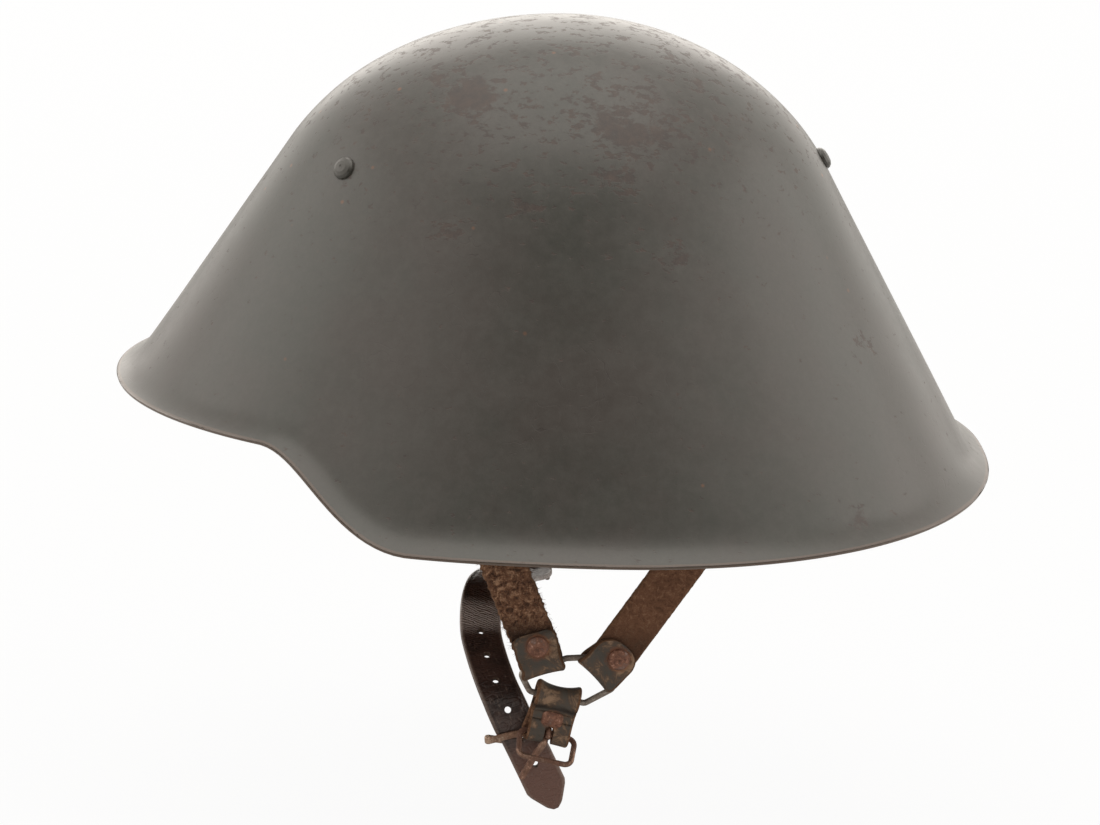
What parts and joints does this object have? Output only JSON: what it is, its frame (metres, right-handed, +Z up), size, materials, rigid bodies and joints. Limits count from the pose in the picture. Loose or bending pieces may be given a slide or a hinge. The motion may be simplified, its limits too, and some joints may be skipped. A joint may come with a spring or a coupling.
{
  "type": "steel helmet",
  "caption": "Broad sloping steel helmet with a hung leather liner and a Y-shaped leather chin strap closed by a small wire buckle.",
  "frame": {"origin": "middle of the helmet, level with the lowest part of the side rim, where the head enters", "axes": "+X to the front, +Y to the wearer's left, +Z up"},
  "size_m": [0.316, 0.272, 0.2705],
  "materials": {
    "shell_paint": "worn semi-matt paint",
    "rusted_steel": "rusted",
    "bare_steel": "dull, spotted",
    "keeper_steel": "dull, tanned",
    "felt": "pressed felt",
    "liner_leather": "smooth",
    "cord": "twisted",
    "strap_leather": "suede",
    "chin_leather": "worn, semi-gloss"
  },
  "bodies": {
    "helmet": {"shell": "shell_paint", "shell_rivets": "rusted_steel", "rivet_washers": "bare_steel", "hanger_front_left": "bare_steel", "hanger_front_right": "bare_steel", "hanger_rear": "bare_steel", "hanger_rivets": "bare_steel", "carrier_ring": "bare_steel", "inner_band": "bare_steel", "band_springs": "bare_steel", "felt_pad": "felt", "leather_liner": "liner_leather", "liner_rivets": "bare_steel", "drawstring": "cord", "clip_left_front": "bare_steel", "clip_left_rear": "bare_steel", "clip_right_front": "bare_steel", "clip_right_rear": "bare_steel", "clip_rivets": "bare_steel"},
    "left_yoke": {"bail_left_front": "bare_steel", "bail_left_rear": "bare_steel", "leg_left_front": "strap_leather", "leg_left_rear": "strap_leather", "left_strap_rivets": "rusted_steel", "left_ring": "bare_steel"},
    "right_yoke": {"bail_right_front": "bare_steel", "bail_right_rear": "bare_steel", "leg_right_front": "strap_leather", "leg_right_rear": "strap_leather", "right_strap_rivets": "rusted_steel", "right_ring": "bare_steel"},
    "buckle_tab": {"buckle_tab": "strap_leather", "tab_rivet": "rusted_steel", "keeper_loop": "keeper_steel"},
    "buckle_frame": {"buckle_frame": "rusted_steel"},
    "buckle_prong": {"buckle_prong": "rusted_steel"},
    "chin_strap": {"chin_strap": "chin_leather", "chin_strap_rivet": "rusted_steel"}
  },
  "joints": [
    {"name": "left_yoke_swing", "type": "hinge", "parent": "helmet", "child": "left_yoke", "pos_m": [0, 0.086, 0.03], "axis": [1, 0, 0], "range_deg": [-20, 20]},
    {"name": "right_yoke_swing", "type": "hinge", "parent": "helmet", "child": "right_yoke", "pos_m": [0, -0.086, 0.03], "axis": [1, 0, 0], "range_deg": [-20, 20]},
    {"name": "buckle_tab_swing", "type": "hinge", "parent": "left_yoke", "child": "buckle_tab", "pos_m": [-0.00075, 0.086, -0.0631], "axis": [1, 0, 0], "range_deg": [-20, 20]},
    {"name": "chin_strap_swing", "type": "hinge", "parent": "right_yoke", "child": "chin_strap", "pos_m": [-0.00075, -0.086, -0.0631], "axis": [1, 0, 0], "range_deg": [-20, 20]},
    {"name": "buckle_frame_swing", "type": "hinge", "parent": "buckle_tab", "child": "buckle_frame", "pos_m": [0.00193, 0.086, -0.07684], "axis": [0.9815, 0, 0.1913], "range_deg": [-10, 90]},
    {"name": "buckle_prong_swing", "type": "hinge", "parent": "buckle_tab", "child": "buckle_prong", "pos_m": [0.00193, 0.086, -0.07684], "axis": [0.9815, 0, 0.1913], "range_deg": [0, 20]}
  ],
  "couplings": [
    {"joint": "right_yoke_swing", "follows": "left_yoke_swing", "ratio": 1},
    {"joint": "buckle_tab_swing", "follows": "left_yoke_swing", "ratio": -1},
    {"joint": "chin_strap_swing", "follows": "left_yoke_swing", "ratio": -1}
  ]
}
